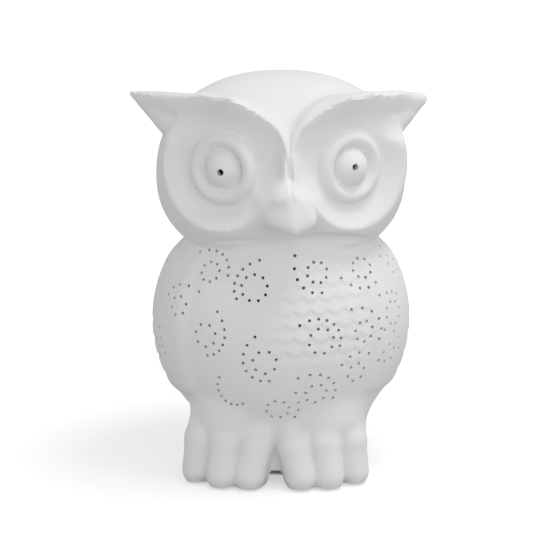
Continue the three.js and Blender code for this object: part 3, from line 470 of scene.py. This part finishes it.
# ------------------------------------------------------------------ pierced motifs
# Each motif is a ring of pinholes with a tail of them round part of it: where its middle is (degrees from
# the front towards +X, and height), the holes in the ring and its radius, the tail's first and last angle
# (anticlockwise from the viewer's right) and its holes.
PINHOLE_RADIUS = 1.05
PUPIL_RADIUS = 2.2
TAIL_RADIUS = 13.2
MOTIFS = [
    (-22, 136, 9, 8.4, 83, 214, 7),
    (14.5, 145, 8, 6.8, 138, 278, 6),
    (14.5, 102, 8, 8.2, 142, -18, 8),
    (-15.5, 89, 7, 7.6, 110, 282, 8),
    (13.5, 66, 7, 7.0, 136, -22, 7),
    (-9, 55, 8, 7.4, 50, -34, 4),
    (-34, 66, 0, 0, 128, 300, 8),
    (-46.5, 104, 7, 7.4, 64, -85, 8),
    (-50, 143, 8, 6.6, 136, -2, 7),
    (-63, 120, 6, 6.2, 40, 156, 5),
    (45, 144, 8, 6.6, 200, 310, 5),
    (58, 113, 8, 7.6, 130, 55, 4),
    (39, 105, 7, 6.8, 120, -30, 6),
    (36, 78, 6, 6.2, 20, 150, 5),
    (55, 87, 5, 6.0, 110, 0, 4),
    (-69, 93, 0, 0, 140, 230, 4),
    (71, 141, 5, 6.2, 40, 140, 3),
]
BACK_MOTIFS = [
    (96, 128, 8, 7.4, 120, -20, 7),
    (110, 96, 8, 7.4, 100, 250, 7),
    (127, 138, 7, 7.0, 60, 200, 6),
    (139, 104, 8, 7.6, 130, -10, 7),
    (160, 134, 8, 7.4, 250, 130, 6),
    (84, 86, 7, 7.0, 60, -60, 5),
]


def field_normals(points):
    """Unit gradient of the owl's field, from differences over 0.6 mm."""
    steps = 0.3 * np.eye(3)
    slope = np.stack([owl_field(*(points + s).T) - owl_field(*(points - s).T) for s in steps], -1)
    return slope / np.linalg.norm(slope, axis=-1, keepdims=True)


def motif_places(ring_holes, ring_radius, first, last, tail_holes):
    """Places of a motif's holes in its own plane: a circle, and an arc that straightens out at its start."""
    turns = 2 * math.pi * (np.arange(ring_holes) + 0.3) / max(ring_holes, 1)
    t = np.linspace(0, 1, tail_holes)
    tail = np.radians(first + (last - first) * t)
    radius = (TAIL_RADIUS if ring_holes else 9.5) + 4.5 * (1 - t) ** 4
    circle = np.stack([ring_radius * np.cos(turns), ring_radius * np.sin(turns)], -1)
    arc = np.stack([radius * np.cos(tail), radius * np.sin(tail)], -1)
    return np.vstack([circle, arc])


def pinhole_places():
    """Surface point and outward normal of every pinhole, found by stepping in from each motif's plane."""
    mirrored = [(-a, z, n, r, 180 - p, 180 - q, m) for a, z, n, r, p, q, m in BACK_MOTIFS]
    motifs = MOTIFS + BACK_MOTIFS + mirrored
    angle = np.radians([m[0] for m in motifs])
    height = np.array([m[1] for m in motifs], float)
    way = np.stack([np.sin(angle), -np.cos(angle), 0 * angle], -1)
    start = np.stack([0 * angle, 0 * angle, height], -1)
    centre = start + march(start, way, 128)[:, None] * way
    normal = field_normals(centre)
    starts, ways = [], []
    for (_, _, *plan), point, out in zip(motifs, centre, normal):
        right = np.cross((0, 0, 1), out)
        right /= np.linalg.norm(right)
        up = np.cross(out, right)
        places = motif_places(*plan)
        starts.append(point + places[:, :1] * right + places[:, 1:] * up + 12 * out)
        ways.append(np.repeat(-out[None], len(places), 0))
    starts, ways = np.vstack(starts), np.vstack(ways)
    inwards = np.zeros(len(starts))
    for _ in range(60):
        at = starts + inwards[:, None] * ways
        inwards += np.clip(owl_field(*at.T), -2, 20) * 0.6
    at = starts + inwards[:, None] * ways
    return at, field_normals(at)


def drills(at, out, radius, above, below, sides=10):
    """Points and faces of a closed cylinder at each place, along its own normal."""
    helper = np.where(np.abs(out[:, 2:]) < 0.9, (0.0, 0.0, 1.0), (1.0, 0.0, 0.0))
    right = np.cross(helper, out)
    right /= np.linalg.norm(right, axis=-1, keepdims=True)
    up = np.cross(out, right)
    a = 2 * math.pi * np.arange(sides) / sides
    circle = radius * (np.cos(a)[None, :, None] * right[:, None] + np.sin(a)[None, :, None] * up[:, None])
    high = at[:, None] + above * out[:, None] + circle
    low = at[:, None] - below * out[:, None] + circle
    points = np.stack([high, low], 1).reshape(-1, 3)
    faces = []
    for first in range(0, len(points), 2 * sides):
        faces += ring_faces(2, sides, first)
        high_cap = range(first, first + sides)
        low_cap = range(first + 2 * sides - 1, first + sides - 1, -1)
        faces += [list(high_cap), list(low_cap)]
    return points, faces


def pupils():
    """Middle of each eyeball and the outward direction of the hole through it."""
    ways, places = [], []
    down = DISH_DEPTH + BALL_SINK
    ball_x = DISH_CENTRE[0] - down * math.sin(DISH_YAW)
    ball_y = DISH_CENTRE[1] + down * math.cos(DISH_YAW)
    for side in (-1, 1):
        x, y = turned(side * math.sin(PUPIL_YAW), -math.cos(PUPIL_YAW), -HEAD_TURN)
        cx, cy = turned(side * ball_x, ball_y, -HEAD_TURN)
        ways.append((x, y, 0))
        places.append((cx, cy, DISH_CENTRE[2] + 1.2 * side))
    return np.array(places), np.array(ways)


def pierced(piece, points, faces, name):
    """The piece's mesh with the drills' shapes cut out of it."""
    cutter = new_piece(name, points, faces, None)
    cut = piece.modifiers.new("pierce", "BOOLEAN")
    cut.operation, cut.solver, cut.object = "DIFFERENCE", "MANIFOLD", cutter
    bpy.context.view_layer.update()
    mesh = bpy.data.meshes.new_from_object(piece.evaluated_get(bpy.context.evaluated_depsgraph_get()))
    piece.modifiers.clear()
    piece.data = mesh
    mesh.shade_smooth()
    mesh.set_sharp_from_angle(angle=math.radians(44))
    bpy.data.objects.remove(cutter)


def owl_shell():
    """The cast shell: sculpted outside, recess, mouth, cavity and hollow eyes, drilled through."""
    points, faces = capped_rings(shell_rings())
    shell = new_piece("owl_shell", place(points), faces, "owl")
    at, out = pinhole_places()
    small, small_faces = drills(at, out, PINHOLE_RADIUS, above=2.5, below=9)
    eye_at, eye_out = pupils()
    large, large_faces = drills(eye_at, eye_out, PUPIL_RADIUS, above=20, below=10, sides=20)
    joined = small_faces + [[i + len(small) for i in face] for face in large_faces]
    front = BALL_RADIUS - 5.5
    hollow, hollow_faces = drills(eye_at, eye_out, BALL_RADIUS - 6.5, above=front, below=45, sides=20)
    pierced(shell, place(hollow), hollow_faces, "eye_hollows")
    pierced(shell, place(np.vstack([small, large])), joined, "drills")
    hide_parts("porcelain_shell")
    return shell


# ------------------------------------------------------------------ soft pieces under the owl
def turned_rings(profile, centre, columns):
    """Rings of points that (radius, height) points make when they are turned about a vertical axis."""
    radius, height = np.asarray(profile, float).T
    angles = 2 * math.pi * np.arange(columns) / columns
    x, y = radius[:, None] * np.cos(angles), radius[:, None] * np.sin(angles)
    return np.stack([x, y, np.broadcast_to(height[:, None], x.shape)], -1) + centre


def felt_pad(node):
    """A pressed felt disc: flat above and below, with a quarter-round soft edge to both faces."""
    low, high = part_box(node)
    radius, height = (high[0] - low[0]) / 2, high[2] - low[2]
    soft = 0.35 * MM
    t = np.linspace(0, math.pi / 2, 5)
    top = [(radius - soft + soft * math.sin(a), height - soft + soft * math.cos(a)) for a in t]
    foot = [(radius - soft + soft * math.cos(a), soft - soft * math.sin(a)) for a in t]
    centre = ((low[0] + high[0]) / 2, (low[1] + high[1]) / 2, low[2])
    points, faces = capped_rings(turned_rings(top + foot, centre, 40))
    pad = new_piece(node + "_felt", points, faces, "owl")
    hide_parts(node)
    return pad


def foam_ring():
    """The closed-cell foam gasket: a nipped ring whose inner and outer edges bulge in a half circle."""
    columns = 96
    height = GASKET_HIGH[2] - GASKET_LOW[2]
    outer = (GASKET_HIGH[0] - GASKET_LOW[0]) / 2
    inner = (MOUTH_RADIUS + 0.4) * MM
    bulge = height / 2
    t = np.linspace(-math.pi / 2, math.pi / 2, 7)
    right = [(outer - bulge + bulge * math.cos(a), bulge + bulge * math.sin(a)) for a in t]
    left = [(inner + bulge - bulge * math.cos(a), bulge - bulge * math.sin(a)) for a in t]
    centre = ((GASKET_LOW[0] + GASKET_HIGH[0]) / 2, (GASKET_LOW[1] + GASKET_HIGH[1]) / 2, GASKET_LOW[2])
    rings = turned_rings((right + left)[::-1], centre, columns)
    faces = np.array(ring_faces(len(rings) + 1, columns)) % (len(rings) * columns)
    gasket = new_piece("foam_gasket_ring", rings.reshape(-1, 3), faces.tolist(), "owl")
    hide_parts("foam_gasket")
    return gasket


# ------------------------------------------------------------------ materials
def linear(hex_colour):
    """An sRGB hex colour as the linear red, green, blue and alpha that a shader takes."""
    parts = [int(hex_colour[i:i + 2], 16) / 255 for i in (1, 3, 5)]
    return [p / 12.92 if p <= 0.04045 else ((p + 0.055) / 1.055) ** 2.4 for p in parts] + [1.0]


def add(tree, kind, settings=None, **inputs):
    """Adds a node, sets its settings, and sets or links its inputs by name."""
    node = tree.nodes.new(kind)
    for key, value in (settings or {}).items():
        setattr(node, key, value)
    for key, value in inputs.items():
        socket = node.inputs[key.replace("_", " ")]
        if isinstance(value, bpy.types.NodeSocket):
            tree.links.new(value, socket)
        else:
            socket.default_value = value
    return node


def surface(name, colour, roughness, **constants):
    """A material with a Principled shader whose plain values are set on its own sockets."""
    material = bpy.data.materials.new(name)
    material.use_nodes = True
    shader = material.node_tree.nodes["Principled BSDF"]
    shader.inputs["Base Color"].default_value = linear(colour)
    shader.inputs["Roughness"].default_value = roughness
    for key, value in constants.items():
        shader.inputs[key.replace("_", " ")].default_value = value
    return material, material.node_tree, shader


def mottle(tree, shader, low, high, patch_mm, detail=3.0):
    """Colour that drifts between two close tones in soft patches."""
    where = add(tree, "ShaderNodeTexCoord").outputs["Object"]
    cloud = add(tree, "ShaderNodeTexNoise", Vector=where, Scale=1 / (patch_mm * MM), Detail=detail)
    ramp = add(tree, "ShaderNodeValToRGB", Fac=cloud.outputs["Fac"])
    ramp.color_ramp.elements[0].position = 0.3
    ramp.color_ramp.elements[0].color = linear(low)
    ramp.color_ramp.elements[1].position = 0.7
    ramp.color_ramp.elements[1].color = linear(high)
    tree.links.new(ramp.outputs["Color"], shader.inputs["Base Color"])


def grain(tree, shader, size_mm, depth_mm, roughness=None, detail=2.0):
    """Bump from fine noise of a real size and depth, which also drives the roughness between two values."""
    where = add(tree, "ShaderNodeTexCoord").outputs["Object"]
    noise = add(tree, "ShaderNodeTexNoise", Vector=where, Scale=1 / (size_mm * MM), Detail=detail)
    bump = add(tree, "ShaderNodeBump", Height=noise.outputs["Fac"], Strength=1.0, Distance=depth_mm * MM)
    tree.links.new(bump.outputs["Normal"], shader.inputs["Normal"])
    if roughness:
        gloss = add(tree, "ShaderNodeMapRange", Value=noise.outputs["Fac"],
                    To_Min=roughness[0], To_Max=roughness[1])
        tree.links.new(gloss.outputs["Result"], shader.inputs["Roughness"])


def bisque_porcelain():
    """Unglazed cast porcelain: chalky and matte, with a sanded grain and faint firing tones."""
    material, tree, shader = surface("bisque_porcelain", "#DEDCDB", 0.78)
    shader.inputs["Specular IOR Level"].default_value = 0.35
    mottle(tree, shader, "#DBD8D8", "#E1E0DF", 34)
    # The real grit is about 0.1 mm. It is drawn at 0.9 mm so that it shows as a soft tooth.
    grain(tree, shader, 0.9, 0.035, (0.72, 0.84))
    return material


def moulded_abs():
    """White ABS with a light spark-eroded mould texture: satin, with highlights broken up by the grain."""
    material, tree, shader = surface("moulded_white_abs", "#EDEDEA", 0.45)
    mottle(tree, shader, "#EBEBE8", "#F0F0ED", 18)
    grain(tree, shader, 0.35, 0.02, (0.4, 0.52))
    return material


def opal_polycarbonate():
    """Milky polycarbonate: smooth, a little translucent, which softens the edges of its shading."""
    material, tree, shader = surface("opal_polycarbonate", "#F4F1E8", 0.3)
    shader.inputs["Subsurface Weight"].default_value = 0.4
    shader.inputs["Subsurface Scale"].default_value = 0.004
    grain(tree, shader, 1.4, 0.01, (0.26, 0.36))
    return material


def pressed_felt():
    """Needle-pressed wool felt: no gloss, tangled fibres that give a fuzzy, mottled surface."""
    material, tree, shader = surface("pressed_felt", "#BEBBB4", 0.95)
    shader.inputs["Sheen Weight"].default_value = 0.5
    mottle(tree, shader, "#AFACA5", "#CAC7C0", 0.8, 6)
    grain(tree, shader, 0.25, 0.12, detail=6)
    return material


def foam_rubber():
    """Closed-cell foam: dull grey with a skin of tiny open cells."""
    material, tree, shader = surface("closed_cell_foam", "#6E6E6C", 0.9)
    where = add(tree, "ShaderNodeTexCoord").outputs["Object"]
    cells = add(tree, "ShaderNodeTexVoronoi", Vector=where, Scale=1 / (0.5 * MM))
    bump = add(tree, "ShaderNodeBump", Height=cells.outputs["Distance"], Strength=1.0, Distance=0.1 * MM)
    tree.links.new(bump.outputs["Normal"], shader.inputs["Normal"])
    mottle(tree, shader, "#646462", "#787876", 1.2)
    return material


def nickel_plated_steel():
    """Bright nickel plate over drawn steel: a mirror dulled by fine streaks along the wire and strip."""
    material, tree, shader = surface("nickel_plated_steel", "#C4C3BE", 0.28, Metallic=1.0)
    where = add(tree, "ShaderNodeTexCoord").outputs["Object"]
    drawn = add(tree, "ShaderNodeMapping", Vector=where, Scale=(1.0, 1.0, 0.08))
    streaks = add(tree, "ShaderNodeTexNoise", Vector=drawn.outputs["Vector"], Scale=1 / (0.3 * MM))
    gloss = add(tree, "ShaderNodeMapRange", Value=streaks.outputs["Fac"], To_Min=0.2, To_Max=0.4)
    tree.links.new(gloss.outputs["Result"], shader.inputs["Roughness"])
    bump = add(tree, "ShaderNodeBump", Height=streaks.outputs["Fac"], Strength=0.5, Distance=0.01 * MM)
    tree.links.new(bump.outputs["Normal"], shader.inputs["Normal"])
    return material


def cell_sleeve():
    """PVC shrink sleeve over a cell can: glossy blue-grey with a pale band across one end."""
    material, tree, shader = surface("cell_shrink_sleeve", "#4C6B8A", 0.3)
    where = add(tree, "ShaderNodeTexCoord").outputs["Object"]
    along = add(tree, "ShaderNodeSeparateXYZ", Vector=where).outputs["Y"]
    ramp = add(tree, "ShaderNodeValToRGB")
    length = add(tree, "ShaderNodeMapRange", Value=along,
                 From_Min=COLLAR_LOW[1] + 18 * MM, From_Max=COLLAR_HIGH[1] - 18 * MM)
    tree.links.new(length.outputs["Result"], ramp.inputs["Fac"])
    ramp.color_ramp.interpolation = "CONSTANT"
    ramp.color_ramp.elements[0].color = linear("#4C6B8A")
    ramp.color_ramp.elements[1].color = linear("#4C6B8A")
    band = ramp.color_ramp.elements.new(0.62)
    band.color = linear("#D6D9DC")
    ramp.color_ramp.elements[-1].position = 0.74
    tree.links.new(ramp.outputs["Color"], shader.inputs["Base Color"])
    grain(tree, shader, 2.5, 0.02, (0.26, 0.36))
    return material


def black_nylon():
    """Glass-filled black nylon: matte, with a speckle of short fibres near the surface."""
    material, tree, shader = surface("black_nylon", "#1C1C1E", 0.5)
    mottle(tree, shader, "#18181A", "#242427", 0.7, 5)
    grain(tree, shader, 0.3, 0.02, (0.44, 0.6))
    return material


def solder_mask():
    """White solder mask on glass laminate: semi-gloss, with the weave just showing through."""
    material, tree, shader = surface("white_solder_mask", "#EEF0ED", 0.35)
    where = add(tree, "ShaderNodeTexCoord").outputs["Object"]
    weave = [add(tree, "ShaderNodeTexWave", {"bands_direction": axis}, Vector=where, Scale=0.05 / MM)
             for axis in ("X", "Y")]
    cloth = add(tree, "ShaderNodeMath", {"operation": "MULTIPLY"})
    for socket, wave in zip(cloth.inputs, weave):
        tree.links.new(wave.outputs["Fac"], socket)
    bump = add(tree, "ShaderNodeBump", Height=cloth.outputs["Value"], Strength=0.6, Distance=0.02 * MM)
    tree.links.new(bump.outputs["Normal"], shader.inputs["Normal"])
    mottle(tree, shader, "#E9ECE9", "#F2F4F1", 6)
    return material


def phosphor_lens():
    """Clear silicone over yellow phosphor: glossy, deeper yellow in the middle of its patches."""
    material, tree, shader = surface("led_phosphor_lens", "#F0D78A", 0.15)
    shader.inputs["Coat Weight"].default_value = 0.6
    mottle(tree, shader, "#EBCF74", "#F5E3A6", 1.5)
    grain(tree, shader, 0.6, 0.01, (0.12, 0.2))
    return material


def pvc_insulation(name, colour, light):
    """Extruded PVC insulation: waxy, with faint ripples from the die."""
    material, tree, shader = surface(name, colour, 0.42)
    mottle(tree, shader, colour, light, 3)
    grain(tree, shader, 0.8, 0.03, (0.36, 0.5))
    return material


def dress(materials):
    """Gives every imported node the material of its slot."""
    for part in frame["record"]["subparts"]:
        node = frame["nodes"][part["node"]]
        node.data.materials.clear()
        node.data.materials.append(materials[part["material_slot"]])


# ------------------------------------------------------------------ floor, light and camera
def floor():
    """A round sheet of pale paper: flat under the owl, and curved up far away like the wall of a light tent.

    The wall gives light from the sides. The flat part glows to the camera alone, and so stays white in view
    without lighting the owl from below. That glow is weaker near the owl, which is painted shade on the floor
    round its base.
    """
    flat, wall = 4.0, 2.6
    bend = np.linspace(0, math.pi / 2, 9)
    radius = np.concatenate([[0.3, flat], flat + wall * np.sin(bend[1:])])
    height = np.concatenate([[0.0, 0.0], wall * (1 - np.cos(bend[1:]))])
    angles = 2 * math.pi * np.arange(64) / 64
    x, y = radius[:, None] * np.cos(angles), radius[:, None] * np.sin(angles)
    rings = np.stack([x, y, np.broadcast_to(height[:, None], x.shape)], -1)[::-1]
    faces = ring_faces(len(rings), 64) + [list(range(64 * (len(rings) - 1), 64 * len(rings)))]
    sheet = new_piece("floor", rings.reshape(-1, 3), faces, None)
    paper, tree, shader = surface("lit_paper", "#C0C0C0", 0.9)
    grain(tree, shader, 3, 0.02)
    where = add(tree, "ShaderNodeTexCoord").outputs["Object"]
    away = add(tree, "ShaderNodeVectorMath", {"operation": "LENGTH"})
    tree.links.new(where, away.inputs[0])
    seen = add(tree, "ShaderNodeLightPath").outputs["Is Camera Ray"]
    # painted shade: the glow that the camera sees is weaker within half a metre of the owl, so the floor
    # looks darker round its base
    glow = add(tree, "ShaderNodeMapRange", Value=away.outputs["Value"],
               From_Min=0.12, From_Max=0.5, To_Min=0.55, To_Max=0.9)
    wall_light = add(tree, "ShaderNodeMapRange", Value=away.outputs["Value"],
                     From_Min=1.5, From_Max=4.5, To_Min=0.0, To_Max=0.8)
    shown = add(tree, "ShaderNodeMath", {"operation": "MULTIPLY"})
    given = add(tree, "ShaderNodeMath", {"operation": "MAXIMUM"})
    tree.links.new(glow.outputs["Result"], shown.inputs[0])
    tree.links.new(seen, shown.inputs[1])
    tree.links.new(shown.outputs["Value"], given.inputs[0])
    tree.links.new(wall_light.outputs["Result"], given.inputs[1])
    shader.inputs["Emission Color"].default_value = linear("#FFFFFF")
    tree.links.new(given.outputs["Value"], shader.inputs["Emission Strength"])
    sheet.data.materials.append(paper)


def softbox(name, where, aim, size, power):
    """A square area light that points at the owl."""
    light = bpy.data.lights.new(name, "AREA")
    light.size, light.energy = size, power
    holder = bpy.data.objects.new(name, light)
    holder.location = where
    holder.rotation_euler = (Vector(aim) - Vector(where)).to_track_quat("-Z", "Y").to_euler()
    bpy.context.scene.collection.objects.link(holder)


def studio():
    """A white room, a soft key from above on the owl's left and a wide light high in front."""
    scene = bpy.context.scene
    scene.world = bpy.data.worlds.new("white_room")
    scene.world.use_nodes = True
    room = scene.world.node_tree.nodes["Background"]
    room.inputs["Color"].default_value = linear("#FFFFFF")
    room.inputs["Strength"].default_value = 0.4
    scene.view_settings.view_transform = "Standard"
    middle = (0, 0, CAD_BOX[1][2] / 2)
    softbox("key", (0.36, -0.22, 1.35), middle, 0.45, 6)
    softbox("front", (0.3, -1.3, 1.0), middle, 1.2, 4.5)


def camera():
    """A long lens, 13 degrees above the horizon and 6.5 to the owl's right."""
    distance, wide = 1.15, 0.363
    azimuth, lift = math.radians(-6.5), math.radians(13)
    back = Vector((math.sin(azimuth) * math.cos(lift), -math.cos(azimuth) * math.cos(lift), math.sin(lift)))
    right = Vector((math.cos(azimuth), math.sin(azimuth), 0))
    target = Vector((SHIFT_X * MM, SHIFT_Y * MM, 0.1298)) - 0.0043 * right
    lens = bpy.data.cameras.new("camera")
    lens.lens = lens.sensor_width * distance / wide
    holder = bpy.data.objects.new("camera", lens)
    holder.location = target + distance * back
    holder.rotation_euler = (-back).to_track_quat("-Z", "Y").to_euler()
    bpy.context.scene.collection.objects.link(holder)
    bpy.context.scene.camera = holder


camera()
studio()
floor()
MATERIALS = {
    "bisque_porcelain": bisque_porcelain(),
    "white_abs": moulded_abs(),
    "opal_plastic": opal_polycarbonate(),
    "felt": pressed_felt(),
    "foam_rubber": foam_rubber(),
    "plated_steel": nickel_plated_steel(),
    "cell_jacket": cell_sleeve(),
    "black_plastic": black_nylon(),
    "board_mask": solder_mask(),
    "led_lens": phosphor_lens(),
    "black_pvc": pvc_insulation("black_pvc", "#1A1A1C", "#26262A"),
    "red_pvc": pvc_insulation("red_pvc", "#B0281E", "#BE382C"),
}
dress(MATERIALS)
owl_shell().data.materials.append(MATERIALS["bisque_porcelain"])
for pad in PADS:
    felt_pad(pad).data.materials.append(MATERIALS["felt"])
foam_ring().data.materials.append(MATERIALS["foam_rubber"])
